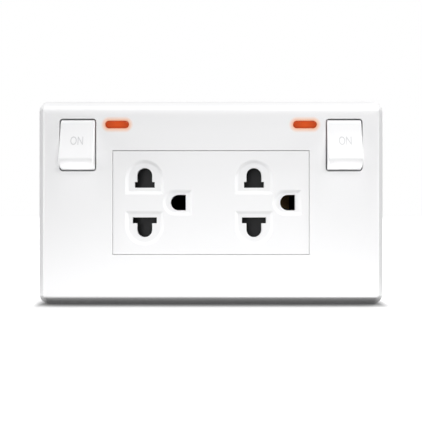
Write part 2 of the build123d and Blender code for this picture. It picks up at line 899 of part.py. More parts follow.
for name, (x, front, mouth, way, height) in terminals.items():
    wire_y = (front + floor_y) / 2
    with BuildPart() as terminal:
        with BuildSketch(at_depth(floor_y)):
            area(x - terminal_width / 2, x + terminal_width / 2, mouth, mouth - way * height)
        extrude(amount=floor_y - front)
        with BuildSketch(Plane.XY.offset(mouth)):
            with Locations((x, wire_y)):
                Circle(wire_hole_r)
        extrude(amount=-way * wire_hole_depth, mode=Mode.SUBTRACT)
        with BuildSketch(at_depth(floor_y)):
            with Locations((x, clamp_z(mouth, way))):
                Circle(clamp_screw_r + screw_play)
        extrude(amount=floor_y - wire_y, mode=Mode.SUBTRACT)
    keep(f"{name}_terminal", terminal.part)

with BuildPart() as terminal_screws:
    for x, front, mouth, way, height in terminals.values():
        shank = (floor_y - front) / 2 - wire_hole_r - screw_gap
        head_y = floor_y + clamp_head
        with BuildSketch(at_depth(head_y)):
            with Locations((x, clamp_z(mouth, way))):
                Circle(clamp_head_r)
        extrude(amount=clamp_head)
        with BuildSketch(at_depth(floor_y)):
            with Locations((x, clamp_z(mouth, way))):
                Circle(clamp_screw_r)
        extrude(amount=shank)
        with BuildSketch(at_depth(head_y)):
            with Locations((x, clamp_z(mouth, way))):
                Rectangle(2 * clamp_head_r, driver_slot)
        extrude(amount=driver_slot, mode=Mode.SUBTRACT)
keep("terminal_screws", terminal_screws.part)


# Rear housing: tray for the contacts, wings for the switches, flange behind the frame
wing_x = body_width / 2 + wing_wall
with BuildPart() as rear_housing:
    with BuildSketch(at_depth(body_back_y)):
        RectangleRounded(body_width, body_height, body_corner)
    extrude(amount=body_back_y - frame_y)
    chamfer(rear_housing.faces().sort_by(Axis.Y)[-1].edges(), body_chamfer)
    with BuildSketch(at_depth(wing_back_y)) as wings:
        for sx in sides.values():
            area(sx * tray_x, sx * wing_outer, wing_low, wing_high)
        fillet([v for v in wings.vertices() if abs(v.X) > switch_x], body_corner)
    extrude(amount=wing_back_y)
    wing_backs = [f for f in rear_housing.faces().filter_by(Axis.Y) if abs(f.center().X) > body_width / 2]
    wing_rims = [e for f in wing_backs if f.center().Y > wing_floor_y for e in f.edges()]
    chamfer([e for e in wing_rims if abs(e.center().X) > wing_x], body_chamfer)
    with BuildSketch(at_depth(flange_thick)):
        RectangleRounded(flange_width, flange_height, body_boss_r)
    extrude(amount=flange_thick)
    with BuildSketch(at_depth(floor_y)):
        Rectangle(2 * tray_x, 2 * tray_z)
    extrude(amount=floor_y - frame_y, mode=Mode.SUBTRACT)
    with BuildSketch(at_depth(wing_floor_y)):
        for sx in sides.values():
            area(sx * wing_x, sx * (wing_outer - wing_wall), wing_low + wing_wall, wing_high - wing_wall)
    extrude(amount=wing_floor_y, mode=Mode.SUBTRACT)
    for up in (1, -1):
        block(
            -tray_x,
            tray_x,
            retainer_back_y,
            floor_y,
            up * (rib_row - rib / 2),
            up * (rib_row + rib / 2),
        )
        for column in columns.values():
            block(column - seat_half, column + seat_half, strip_back_y, floor_y, up * clip_low, up * clip_high)
    for column in columns.values():
        earth_x = column + earth_offset
        block(earth_x - seat_half, earth_x + seat_half, strip_back_y, floor_y, -strip_width / 2, strip_width / 2)
    for sx in sides.values():
        block(
            sx * (tray_x - rib),
            sx * wing_x,
            frame_y,
            max(bus_back_y, strip_back_y),
            strap_low - entry_play,
            bus_high + entry_play,
            mode=Mode.SUBTRACT,
        )
        block(
            sx * switch_x - seat_half,
            sx * switch_x + seat_half,
            bus_back_y,
            wing_floor_y,
            bus_high,
            switch_z + lug_half,
        )
        block(
            sx * switch_x - seat_half,
            sx * switch_x + seat_half,
            strip_back_y,
            wing_floor_y,
            wing_low + wing_wall,
            clip_high,
        )
        block(sx * bus_seat_x - rib, sx * bus_seat_x + rib, bus_back_y, floor_y, bus_low, tray_z)
    for x, front, mouth, way, height in terminals.values():
        wire_y = (front + floor_y) / 2
        with BuildSketch(Plane.XY.offset(way * body_height / 2)):
            with Locations((x, wire_y)):
                Circle(wire_hole_r + entry_play)
        extrude(amount=-way * (body_height / 2 - abs(mouth)), mode=Mode.SUBTRACT)
        with BuildSketch(at_depth(body_back_y)):
            with Locations((x, clamp_z(mouth, way))):
                Circle(clamp_head_r + entry_play)
        extrude(amount=floor_thick, mode=Mode.SUBTRACT)
    with BuildSketch(at_depth(flange_thick)):
        with GridLocations(2 * body_screw_x, 2 * body_screw_z, 2, 2):
            Circle(body_screw_r + hole_play)
    extrude(amount=flange_thick, mode=Mode.SUBTRACT)
keep("rear_housing", rear_housing.part)


# Body screws: from behind, through flange and frame into the socket face
with BuildPart() as body_screws:
    head_y = flange_thick + body_screw_head
    with BuildSketch(at_depth(head_y)):
        with GridLocations(2 * body_screw_x, 2 * body_screw_z, 2, 2):
            Circle(body_screw_head_r)
    extrude(amount=body_screw_head)
    with BuildSketch(at_depth(flange_thick)):
        with GridLocations(2 * body_screw_x, 2 * body_screw_z, 2, 2):
            Circle(body_screw_r)
    extrude(amount=flange_thick + frame_thick + body_screw_grip)
    with BuildSketch(at_depth(head_y)):
        with GridLocations(2 * body_screw_x, 2 * body_screw_z, 2, 2):
            Rectangle(2 * body_screw_head_r, driver_slot)
    extrude(amount=driver_slot, mode=Mode.SUBTRACT)
keep("body_screws", body_screws.part)


# Indicator lamps: lens in the plate, lamp and resistor in cradles on the frame
for side, sx in sides.items():
    with BuildPart() as indicator_lens:
        with BuildSketch(at_depth(inner_y)):
            with Locations((sx * lens_x, lens_z)):
                RectangleRounded(lens_width, lens_height, lens_corner)
        extrude(amount=plate_wall + lens_proud)
        chamfer(indicator_lens.faces().sort_by(Axis.Y)[0].edges(), lens_chamfer)
        with BuildSketch(at_depth(lens_back_y)):
            with Locations((sx * lens_x, lens_z)):
                RectangleRounded(lens_width + 2 * lens_flange, lens_height + 2 * lens_flange, lens_corner)
        extrude(amount=lens_flange_thick)
    keep(f"indicator_lens_{side}", indicator_lens.part)

    with BuildPart() as neon_lamp:
        with BuildSketch(Plane.YZ.offset(sx * lens_x)):
            with Locations((lamp_y, lens_z)):
                Circle(lamp_r)
        extrude(amount=lamp_length / 2, both=True)
        chamfer(neon_lamp.edges().filter_by(GeomType.CIRCLE), lamp_r / 2)
    keep(f"neon_lamp_{side}", neon_lamp.part)

    with BuildPart() as lamp_resistor:
        with BuildSketch(Plane.YZ.offset(sx * resistor_x)):
            with Locations((lamp_y, lens_z)):
                Circle(resistor_r)
        extrude(amount=resistor_length / 2, both=True)
        with BuildSketch(Plane.YZ.offset(sx * (lens_x - lamp_length / 2))):
            with Locations((lamp_y, lens_z)):
                Circle(lead_r)
        extrude(amount=-sx * (resistor_gap + resistor_length + lead_tail))
    keep(f"lamp_resistor_{side}", lamp_resistor.part)
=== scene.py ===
import json
from math import pi, radians, sqrt
import bmesh
import bpy
from mathutils import Matrix, Vector


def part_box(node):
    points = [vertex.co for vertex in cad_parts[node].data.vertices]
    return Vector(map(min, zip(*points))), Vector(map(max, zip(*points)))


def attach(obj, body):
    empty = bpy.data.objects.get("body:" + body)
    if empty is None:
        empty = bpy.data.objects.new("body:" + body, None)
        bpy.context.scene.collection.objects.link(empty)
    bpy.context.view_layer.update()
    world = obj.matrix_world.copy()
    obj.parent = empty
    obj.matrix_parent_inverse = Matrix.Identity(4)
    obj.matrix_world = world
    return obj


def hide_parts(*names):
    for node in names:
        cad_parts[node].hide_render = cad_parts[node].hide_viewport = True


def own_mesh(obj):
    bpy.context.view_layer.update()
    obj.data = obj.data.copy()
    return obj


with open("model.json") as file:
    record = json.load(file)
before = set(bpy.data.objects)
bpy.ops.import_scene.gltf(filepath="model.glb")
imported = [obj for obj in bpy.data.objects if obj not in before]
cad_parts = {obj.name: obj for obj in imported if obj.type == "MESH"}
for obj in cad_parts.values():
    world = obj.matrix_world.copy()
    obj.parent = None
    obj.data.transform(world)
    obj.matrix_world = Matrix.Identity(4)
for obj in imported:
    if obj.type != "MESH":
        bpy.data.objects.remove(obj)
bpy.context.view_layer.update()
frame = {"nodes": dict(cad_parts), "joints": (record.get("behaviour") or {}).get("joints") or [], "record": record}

# Rear housing: the black tray behind the frame, with a wing behind each switch. It is moulded in one
# piece from a heat-proof plastic that keeps a dull skin, and the mould leaves its edges just broken.
mm = 0.001
housing_edge = 0.18 * mm
weld_reach = 0.001 * mm
flat_within = radians(0.5)
sharp_from = radians(30)
body_of = {node: body for body, nodes in frame["record"]["behaviour"]["bodies"].items() for node in nodes}


def add_piece(name, mesh):
    """A new object of the scene with this mesh."""
    piece = bpy.data.objects.new(name, mesh)
    bpy.context.collection.objects.link(piece)
    return piece


def stand_for(piece, node):
    """The piece takes the place of a node: the node is hidden, and the piece rides on the same body."""
    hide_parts(node)
    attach(piece, body_of[node])


def moulded_copy(node, edge, material, soft_edges=None, soft=0.0):
    """A node's shape with whole faces, rounded edges and even shading, standing for that node.

    The edges that soft_edges picks are rounded first, by the width soft.
    """
    shape = bmesh.new()
    shape.from_mesh(frame["nodes"][node].data)
    bmesh.ops.remove_doubles(shape, verts=shape.verts, dist=weld_reach)
    bmesh.ops.dissolve_limit(shape, angle_limit=flat_within, verts=shape.verts, edges=shape.edges)
    if soft_edges:
        chosen = [e for e in shape.edges if soft_edges(e)]
        bmesh.ops.bevel(
            shape, geom=chosen, offset=soft, offset_type="OFFSET", segments=4, profile=0.5, affect="EDGES"
        )
    mesh = bpy.data.meshes.new(f"{node}_moulded")
    shape.to_mesh(mesh)
    shape.free()
    mesh.shade_smooth()
    mesh.materials.append(material)
    piece = add_piece(f"{node}_moulded", mesh)
    rounding = piece.modifiers.new("rounded edges", "BEVEL")
    rounding.width = edge
    rounding.segments = 2
    rounding.limit_method = "ANGLE"
    rounding.angle_limit = sharp_from
    rounding.use_clamp_overlap = False
    piece.modifiers.new("even shading", "WEIGHTED_NORMAL")
    stand_for(piece, node)


def new_material(name):
    """A material with its node tree and its surface shader."""
    material = bpy.data.materials.new(name)
    material.use_nodes = True
    return material, material.node_tree, material.node_tree.nodes["Principled BSDF"]


def new_tree(name, kind, inputs, outputs):
    """A node group of this kind with named sockets, and its own input and output nodes."""
    tree = bpy.data.node_groups.new(name, kind)
    for label, socket in inputs.items():
        tree.interface.new_socket(label, in_out="INPUT", socket_type=socket)
    for label, socket in outputs.items():
        tree.interface.new_socket(label, in_out="OUTPUT", socket_type=socket)
    return tree, tree.nodes.new("NodeGroupInput"), tree.nodes.new("NodeGroupOutput")


def feed(tree, socket, value):
    """Links a node's input to another socket, or sets it to a plain value."""
    if isinstance(value, bpy.types.NodeSocket):
        tree.links.new(value, socket)
    else:
        socket.default_value = value


def set_node(tree, kind, **values):
    """A node with its inputs set from sockets or plain values, by socket name."""
    node = tree.nodes.new(kind)
    for label, value in values.items():
        feed(tree, node.inputs[label.replace("_", " ")], value)
    return node


def sum_node(tree, operation, *values):
    """A Math node whose inputs are sockets or plain numbers; gives its output socket."""
    node = tree.nodes.new("ShaderNodeMath")
    node.operation = operation
    for socket, value in zip(node.inputs, values):
        feed(tree, socket, value)
    return node.outputs["Value"]


def noise(tree, vector, cells, detail):
    """A noise over this vector; cells is a socket or a number in a metre. Gives its output socket."""
    node = set_node(tree, "ShaderNodeTexNoise", Vector=vector, Scale=cells, Detail=detail)
    return node.outputs["Fac"]


# The skin of every moulded piece: fine grain from the mould, and broad faint marks where the plastic flowed
flow_cells = 45.0
grain_relief = 0.5
moulded_grain, given, made = new_tree(
    "moulded_grain",
    "ShaderNodeTree",
    {
        "Vector": "NodeSocketVector",
        "Colour": "NodeSocketColor",
        "Shift": "NodeSocketFloat",
        "Roughness": "NodeSocketFloat",
        "Spread": "NodeSocketFloat",
        "Fineness": "NodeSocketFloat",
    },
    {"Colour": "NodeSocketColor", "Roughness": "NodeSocketFloat", "Height": "NodeSocketFloat"},
)
flow = noise(moulded_grain, given.outputs["Vector"], flow_cells, detail=3)
grain = noise(moulded_grain, given.outputs["Vector"], given.outputs["Fineness"], detail=2)
darker = sum_node(moulded_grain, "MULTIPLY", flow, given.outputs["Shift"])
lightness = sum_node(moulded_grain, "SUBTRACT", 1.0, darker)
tint = set_node(moulded_grain, "ShaderNodeHueSaturation", Color=given.outputs["Colour"], Value=lightness)
dulled = sum_node(moulded_grain, "MULTIPLY_ADD", flow, given.outputs["Spread"], given.outputs["Roughness"])
moulded_grain.links.new(tint.outputs["Color"], made.inputs["Colour"])
moulded_grain.links.new(dulled, made.inputs["Roughness"])
moulded_grain.links.new(grain, made.inputs["Height"])


def skinned(name, skin_tree, relief, depth, **values):
    """A material with colour, gloss and fine relief from a skin group; gives it and its surface shader."""
    material, tree, surface = new_material(name)
    place = tree.nodes.new("ShaderNodeTexCoord")
    skin = tree.nodes.new("ShaderNodeGroup")
    skin.node_tree = skin_tree
    for label, value in values.items():
        skin.inputs[label].default_value = value
    bump = set_node(tree, "ShaderNodeBump", Strength=relief, Distance=depth, Height=skin.outputs["Height"])
    tree.links.new(place.outputs["Object"], skin.inputs["Vector"])
    tree.links.new(skin.outputs["Colour"], surface.inputs["Base Color"])
    tree.links.new(skin.outputs["Roughness"], surface.inputs["Roughness"])
    tree.links.new(bump.outputs["Normal"], surface.inputs["Normal"])
    return material, surface


def plastic(name, colour, shift, roughness, spread, fineness, depth, ior=1.5):
    """A moulded plastic: shift and spread are how far colour and gloss wander, depth is of the grain."""
    material, surface = skinned(
        name,
        moulded_grain,
        grain_relief,
        depth,
        Colour=(*colour, 1.0),
        Shift=shift,
        Roughness=roughness,
        Spread=spread,
        Fineness=fineness,
    )
    surface.inputs["IOR"].default_value = ior
    return material


black_plastic = plastic(
    "black_plastic",
    colour=(0.014, 0.014, 0.015),
    shift=0.35,
    roughness=0.45,
    spread=0.12,
    fineness=2600.0,
    depth=0.012 * mm,
    ior=1.4,
)
moulded_copy("rear_housing", housing_edge, black_plastic)

# Terminals: three brass blocks that each clamp a wire with one slotted steel screw, driven from behind
# through the housing's floor. The brass is cut from drawn bar, and the screws are zinc plated.
terminal_edge = 0.2 * mm
wires = ("line", "neutral", "earth")
draw_cells = 900.0
draw_stretch = (0.04, 1.0, 1.0)
draw_relief = 0.4
tarnish_cells = 160.0


def colour_mix(tree, share, first, second):
    """A colour that goes from the first to the second with the share; gives its output socket."""
    mix = tree.nodes.new("ShaderNodeMix")
    mix.data_type = "RGBA"
    feed(tree, mix.inputs["Factor"], share)
    feed(tree, mix.inputs["A"], first)
    feed(tree, mix.inputs["B"], second)
    return mix.outputs["Result"]


drawn_metal, given, made = new_tree(
    "drawn_metal",
    "ShaderNodeTree",
    {
        "Vector": "NodeSocketVector",
        "Clean": "NodeSocketColor",
        "Dull": "NodeSocketColor",
        "Roughness": "NodeSocketFloat",
        "Spread": "NodeSocketFloat",
    },
    {"Colour": "NodeSocketColor", "Roughness": "NodeSocketFloat", "Height": "NodeSocketFloat"},
)
stretch = drawn_metal.nodes.new("ShaderNodeVectorMath")
stretch.operation = "MULTIPLY"
stretch.inputs[1].default_value = draw_stretch
drawn_metal.links.new(given.outputs["Vector"], stretch.inputs[0])
lines = noise(drawn_metal, stretch.outputs["Vector"], draw_cells, detail=3)
clouds = noise(drawn_metal, given.outputs["Vector"], tarnish_cells, detail=4)
tarnish = colour_mix(drawn_metal, clouds, given.outputs["Clean"], given.outputs["Dull"])
brushed = sum_node(drawn_metal, "MULTIPLY_ADD", lines, given.outputs["Spread"], given.outputs["Roughness"])
drawn_metal.links.new(tarnish, made.inputs["Colour"])
drawn_metal.links.new(brushed, made.inputs["Roughness"])
drawn_metal.links.new(lines, made.inputs["Height"])


def metal(name, clean, dull, roughness, spread, depth):
    """A drawn or rolled metal with faint lines along its length and cloudy tarnish."""
    material, surface = skinned(
        name,
        drawn_metal,
        draw_relief,
        depth,
        Clean=(*clean, 1.0),
        Dull=(*dull, 1.0),
        Roughness=roughness,
        Spread=spread,
    )
    surface.inputs["Metallic"].default_value = 1.0
    return material


brass = metal(
    "brass", clean=(0.80, 0.58, 0.27), dull=(0.55, 0.36, 0.14), roughness=0.22, spread=0.2, depth=0.01 * mm
)
zinc_steel = metal(
    "zinc_steel",
    clean=(0.66, 0.67, 0.70),
    dull=(0.50, 0.50, 0.48),
    roughness=0.25,
    spread=0.2,
    depth=0.008 * mm,
)
for wire in wires:
    moulded_copy(f"{wire}_terminal", terminal_edge, brass)


def moved_up(tree, geometry, height):
    """Geometry moved up Z by this height; gives the output socket."""
    rise = set_node(tree, "ShaderNodeCombineXYZ", Z=height)
    moved = set_node(tree, "GeometryNodeTransform", Geometry=geometry, Translation=rise.outputs["Vector"])
    return moved.outputs["Geometry"]


def wound(tree, turns, radius, height, wire_radius, turn_steps, wire_sides):
    """A wire wound into a helix that rises from the origin; gives the output socket."""
    helix = set_node(
        tree,
        "GeometryNodeCurveSpiral",
        Resolution=turn_steps,
        Rotations=turns,
        Start_Radius=radius,
        End_Radius=radius,
        Height=height,
    )
    section = set_node(tree, "GeometryNodeCurvePrimitiveCircle", Resolution=wire_sides, Radius=wire_radius)
    wire = set_node(
        tree,
        "GeometryNodeCurveToMesh",
        Curve=helix.outputs["Curve"],
        Profile_Curve=section.outputs["Curve"],
        Fill_Caps=True,
    )
    return wire.outputs["Mesh"]


def finish_tree(tree, geometry, material, end):
    """Ends a geometry tree in plain geometry of one material, at this socket of its output node."""
    real = set_node(tree, "GeometryNodeRealizeInstances", Geometry=geometry)
    finish = set_node(tree, "GeometryNodeSetMaterial", Geometry=real.outputs["Geometry"], Material=material)
    tree.links.new(finish.outputs["Geometry"], end)


# One slotted screw with a low domed head and a rolled thread, set on every point it is given
slotted_screws, given, made = new_tree(
    "slotted_screws",
    "GeometryNodeTree",
    {
        "Points": "NodeSocketGeometry",
        "Head Radius": "NodeSocketFloat",
        "Head Height": "NodeSocketFloat",
        "Dome Radius": "NodeSocketFloat",
        "Slot": "NodeSocketFloat",
        "Shank Radius": "NodeSocketFloat",
        "Shank Length": "NodeSocketFloat",
        "Thread Turns": "NodeSocketFloat",
        "Thread Depth": "NodeSocketFloat",
        "Material": "NodeSocketMaterial",
    },
    {"Screws": "NodeSocketGeometry"},
)
size = given.outputs
disc = set_node(
    slotted_screws,
    "GeometryNodeMeshCylinder",
    Vertices=48,
    Radius=size["Head Radius"],
    Depth=size["Head Height"],
)
half_head = sum_node(slotted_screws, "MULTIPLY", size["Head Height"], 0.5)
ball = set_node(
    slotted_screws, "GeometryNodeMeshUVSphere", Segments=96, Rings=96, Radius=size["Dome Radius"]
)
sink = sum_node(slotted_screws, "SUBTRACT", size["Head Height"], size["Dome Radius"])
domed = slotted_screws.nodes.new("GeometryNodeMeshBoolean")
domed.operation = "INTERSECT"
slotted_screws.links.new(moved_up(slotted_screws, disc.outputs["Mesh"], half_head), domed.inputs["Mesh 2"])
slotted_screws.links.new(moved_up(slotted_screws, ball.outputs["Mesh"], sink), domed.inputs["Mesh 2"])
slot_length = sum_node(slotted_screws, "MULTIPLY", size["Head Radius"], 3.0)
slot_depth = sum_node(slotted_screws, "MULTIPLY", size["Slot"], 2.0)
slot_size = set_node(slotted_screws, "ShaderNodeCombineXYZ", X=slot_length, Y=size["Slot"], Z=slot_depth)
blade = set_node(slotted_screws, "GeometryNodeMeshCube", Size=slot_size.outputs["Vector"])
blade_set = moved_up(slotted_screws, blade.outputs["Mesh"], size["Head Height"])
head = slotted_screws.nodes.new("GeometryNodeMeshBoolean")
head.operation = "DIFFERENCE"
slotted_screws.links.new(domed.outputs["Mesh"], head.inputs["Mesh 1"])
slotted_screws.links.new(blade_set, head.inputs["Mesh 2"])
core_radius = sum_node(slotted_screws, "SUBTRACT", size["Shank Radius"], size["Thread Depth"])
core = set_node(
    slotted_screws, "GeometryNodeMeshCylinder", Vertices=32, Radius=core_radius, Depth=size["Shank Length"]
)
core_drop = sum_node(slotted_screws, "MULTIPLY", size["Shank Length"], -0.5)
core_set = moved_up(slotted_screws, core.outputs["Mesh"], core_drop)
both_ends = sum_node(slotted_screws, "MULTIPLY", size["Thread Depth"], 2.0)
thread_length = sum_node(slotted_screws, "SUBTRACT", size["Shank Length"], both_ends)
thread = wound(
    slotted_screws,
    size["Thread Turns"],
    core_radius,
    thread_length,
    size["Thread Depth"],
    turn_steps=24,
    wire_sides=4,
)
thread_drop = sum_node(slotted_screws, "SUBTRACT", size["Thread Depth"], size["Shank Length"])
thread_set = moved_up(slotted_screws, thread, thread_drop)
whole = slotted_screws.nodes.new("GeometryNodeJoinGeometry")
for part in (head.outputs["Mesh"], core_set, thread_set):
    slotted_screws.links.new(part, whole.inputs["Geometry"])
turned = slotted_screws.nodes.new("FunctionNodeRandomValue")
turned.data_type = "FLOAT"
turned.inputs["Min"].default_value = 0.0
turned.inputs["Max"].default_value = pi
turned.inputs["Seed"].default_value = 7
turn_angle = [s for s in turned.outputs if s.enabled][0]
facing = set_node(slotted_screws, "ShaderNodeCombineXYZ", X=-pi / 2, Y=turn_angle)
on_points = set_node(
    slotted_screws,
    "GeometryNodeInstanceOnPoints",
    Points=size["Points"],
    Instance=whole.outputs["Geometry"],
    Rotation=facing.outputs["Vector"],
)
finish_tree(slotted_screws, on_points.outputs["Instances"], size["Material"], made.inputs["Screws"])


def grown_mesh(name, seed_mesh, tree, **values):
    """A plain mesh that a geometry tree grows from a seed mesh, with the tree's inputs set by name."""
    seed = add_piece(name, seed_mesh)
    grower = seed.modifiers.new("grown", "NODES")
    grower.node_group = tree
    sockets = {s.name: s.identifier for s in tree.interface.items_tree if s.in_out == "INPUT"}
    for label, value in values.items():
        grower[sockets[label.replace("_", " ")]] = value
    grown = bpy.data.meshes.new_from_object(seed.evaluated_get(bpy.context.evaluated_depsgraph_get()))
    bpy.data.objects.remove(seed)
    grown.name = name
    return grown


slot_width = 0.6 * mm
thread_depth = 0.15 * mm
dome_share = 0.35


def screw_set(node, places, head_radius, head_height, shank_radius, shank_length, pitch):
    """Screws with the underside of their heads at these places, standing for a node."""
    seat = bpy.data.meshes.new(f"{node}_seats")
    seat.from_pydata(places, [], [])
    dome = head_height * dome_share
    mesh = grown_mesh(
        f"{node}_slotted",
        seat,
        slotted_screws,
        Head_Radius=head_radius,
        Head_Height=head_height,
        Dome_Radius=(head_radius**2 + dome**2) / (2 * dome),
        Slot=slot_width,
        Shank_Radius=shank_radius,
        Shank_Length=shank_length,
        Thread_Turns=(shank_length - 2 * thread_depth) / pitch,
        Thread_Depth=thread_depth,
        Material=zinc_steel,
    )
    mesh.shade_smooth()
    mesh.set_sharp_from_angle(angle=sharp_from)
    piece = add_piece(f"{node}_slotted", mesh)
    stand_for(piece, node)


clamp_head_r = 2.4 * mm
clamp_head = 1.5 * mm
clamp_shank_r = 1.5 * mm
clamp_pitch = 0.6 * mm
clamp_from_mouth = 3.1 * mm
clamp_low, clamp_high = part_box("terminal_screws")
clamp_seat = clamp_high.y - clamp_head
clamp_places = []
for wire in wires:
    low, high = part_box(f"{wire}_terminal")
    clamp_z = high.z - clamp_from_mouth if wire == "line" else low.z + clamp_from_mouth
    clamp_places.append(((low.x + high.x) / 2, clamp_seat, clamp_z))
clamp_shank = clamp_seat - clamp_low.y
screw_set("terminal_screws", clamp_places, clamp_head_r, clamp_head, clamp_shank_r, clamp_shank, clamp_pitch)

# Contact strips: line, neutral and earth strips with the clips that grip a plug's pins, all punched from
# brass sheet and bent. The switched live clip of each socket is a strip of its own.
# The strips' brass is darker than the terminals' brass: a painted shade that keeps the openings looking dark.
sheet_brass = metal(
    "sheet_brass",
    clean=(0.50, 0.36, 0.17),
    dull=(0.34, 0.22, 0.09),
    roughness=0.26,
    spread=0.2,
    depth=0.01 * mm,
)
for node in ("line_bus", "live_clip_left", "live_clip_right", "neutral_bus", "earth_bus"):
    frame["nodes"][node].material_slots[0].material = sheet_brass

# Switch levers: each is punched from the same brass sheet and rocks on the line strip's bracket. It closes
# a pair of silver rivets, one on the lever and one on the live clip.
silver = metal(
    "contact_silver",
    clean=(0.86, 0.85, 0.82),
    dull=(0.62, 0.60, 0.56),
    roughness=0.18,
    spread=0.15,
    depth=0.005 * mm,
)
sides = ("left", "right")
for side in sides:
    frame["nodes"][f"seesaw_{side}"].material_slots[0].material = sheet_brass
    frame["nodes"][f"moving_tip_{side}"].material_slots[0].material = silver
frame["nodes"]["fixed_tips"].material_slots[0].material = silver

# Shutters: a black moulded slider behind each pair of openings, on a retainer plate with a steel return
# spring. A plug's pins push the slider to the right, and the spring shuts it again.
slider_edge = 0.15 * mm
spring_wire_r = 0.18 * mm
shutter_coil_r = 1.0 * mm
shutter_coil_turns = 7
spring_wire = metal(
    "spring_wire",
    clean=(0.58, 0.58, 0.60),
    dull=(0.40, 0.39, 0.38),
    roughness=0.3,
    spread=0.15,
    depth=0.004 * mm,
)
moulded_copy("shutter_retainer", slider_edge, black_plastic)

wound_wire, given, made = new_tree(
    "wound_wire",
    "GeometryNodeTree",
    {
        "Seed": "NodeSocketGeometry",
        "Radius": "NodeSocketFloat",
        "Wire": "NodeSocketFloat",
        "Turns": "NodeSocketFloat",
        "Length": "NodeSocketFloat",
        "Material": "NodeSocketMaterial",
    },
    {"Spring": "NodeSocketGeometry"},
)
size = given.outputs
coil = wound(
    wound_wire, size["Turns"], size["Radius"], size["Length"], size["Wire"], turn_steps=32, wire_sides=10
)
finish_tree(wound_wire, coil, size["Material"], made.inputs["Spring"])
joint_of = {joint["name"]: joint for joint in frame["joints"]}


def spring(node, joint, middle, length, radius, turns):
    """A coil spring about a middle, along the axis of its joint."""
    along = Vector(joint_of[joint]["axis"])
    mesh = grown_mesh(
        f"{node}_wound",
        bpy.data.meshes.new(f"{node}_seed"),
        wound_wire,
        Radius=radius,
        Wire=spring_wire_r,
        Turns=turns,
        Length=length,
        Material=spring_wire,
    )
    turn = Vector((0, 0, 1)).rotation_difference(along).to_matrix().to_4x4()
    mesh.transform(Matrix.Translation(middle) @ turn @ Matrix.Translation((0, 0, -length / 2)))
    mesh.shade_smooth()
    piece = add_piece(f"{node}_wound", mesh)
    stand_for(piece, node)
    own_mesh(piece)


for side in sides:
    moulded_copy(f"shutter_{side}", slider_edge, black_plastic)
    low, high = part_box(f"shutter_spring_{side}")
    spring(
        f"shutter_spring_{side}",
        f"shutter_{side}_slide",
        middle=(low + high) / 2,
        length=high.x - low.x - 2 * spring_wire_r,
        radius=shutter_coil_r,
        turns=shutter_coil_turns,
    )

# Socket face: the white insert that shows in the plate's window, with six openings in shallow dishes.
# Moulded in glossy white plastic with a rounded rim round every dish.
face_edge = 0.07 * mm
dish_rim = 0.3 * mm
dish_half_width = 32.8 * mm
dish_half_height = 16.6 * mm
dish_front = 1.0 * mm
level_within = 0.01 * mm
least_bend = radians(20)
most_bend = radians(60)
glossy_white = {
    "colour": (0.88, 0.88, 0.885),
    "shift": 0.006,
    "roughness": 0.26,
    "spread": 0.06,
    "fineness": 1400.0,
    "depth": 0.004 * mm,
}
white_plastic = plastic("white_plastic", **glossy_white)
face_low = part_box("socket_face")[0]


def on_dish(edge):
    """True for the edges where a dish's wall meets the face or the dish's floor."""
    ends = [v.co for v in edge.verts]
    level = abs(ends[0].y - ends[1].y) < level_within
    in_front = all(co.y < face_low.y + dish_front for co in ends)
    inside = all(abs(co.x) < dish_half_width and abs(co.z) < dish_half_height for co in ends)
    if not (level and in_front and inside and edge.is_manifold):
        return False
    return least_bend < edge.calc_face_angle() < most_bend


moulded_copy("socket_face", face_edge, white_plastic, on_dish, dish_rim)

# Mounting frame: grey moulded plate that screws to the wall box. Its ears carry the rockers, its cradles
# the lamps, and the cover clips over its edge.
frame_edge = 0.15 * mm
grey_plastic = plastic(
    "grey_plastic",
    colour=(0.42, 0.43, 0.44),
    shift=0.12,
    roughness=0.45,
    spread=0.12,
    fineness=2000.0,
    depth=0.012 * mm,
)
moulded_copy("mounting_frame", frame_edge, grey_plastic)

# Body screws: four zinc plated steel screws, driven from behind through the flange of the housing and
# through the frame into the socket face's bosses. They hold the three together.
body_head_r = 2.5 * mm
body_head = 1.5 * mm
body_shank_r = 1.3 * mm
body_pitch = 0.9 * mm
body_low, body_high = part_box("body_screws")
body_seat = body_high.y - body_head
body_shank = body_seat - body_low.y
body_places = [
    (x, body_seat, z)
    for x in (body_low.x + body_head_r, body_high.x - body_head_r)
    for z in (body_low.z + body_head_r, body_high.z - body_head_r)
]
screw_set("body_screws", body_places, body_head_r, body_head, body_shank_r, body_shank, body_pitch)

# Lamps: a small glass neon lamp behind each lens, with its lacquered resistor in line beside it, both
# resting in cradles of the frame.
neon_cells = 350.0
neon_shades = ((0.0, (0.9, 0.16, 0.03)), (1.0, (1.0, 0.42, 0.12)))


def colour_ramp(tree, share, stops, blend="LINEAR"):
    """Colours that follow a share, each a stop with its place and colour; gives the output socket."""
    node = set_node(tree, "ShaderNodeValToRGB", Fac=share)
    ramp = node.color_ramp
    ramp.interpolation = blend
    ramp.elements.remove(ramp.elements[1])
    ramp.elements[0].position = stops[0][0]
    ramp.elements[0].color = (*stops[0][1], 1.0)
    for position, colour in stops[1:]:
        ramp.elements.new(position).color = (*colour, 1.0)
    return node.outputs["Color"]


lamp_glass, tree, surface = new_material("lamp_glass")
place = tree.nodes.new("ShaderNodeTexCoord")
glow = colour_ramp(tree, noise(tree, place.outputs["Object"], neon_cells, detail=2), neon_shades)
tree.links.new(glow, surface.inputs["Emission Color"])
tree.links.new(glow, surface.inputs["Base Color"])
surface.inputs["Emission Strength"].default_value = 0.25
surface.inputs["Roughness"].default_value = 0.06

ring_colours = ((0.35, 0.02, 0.01), (0.35, 0.02, 0.01), (0.75, 0.55, 0.02), (0.55, 0.36, 0.08))
resistor_coat = (0.56, 0.42, 0.24)
bare_lead = (0.62, 0.62, 0.63, 1.0)
resistor_length = 6.5 * mm
lead_length = 2.6 * mm
bare_radius = 0.6 * mm
first_ring = 0.14
ring_step = 0.19
ring_width = 0.1


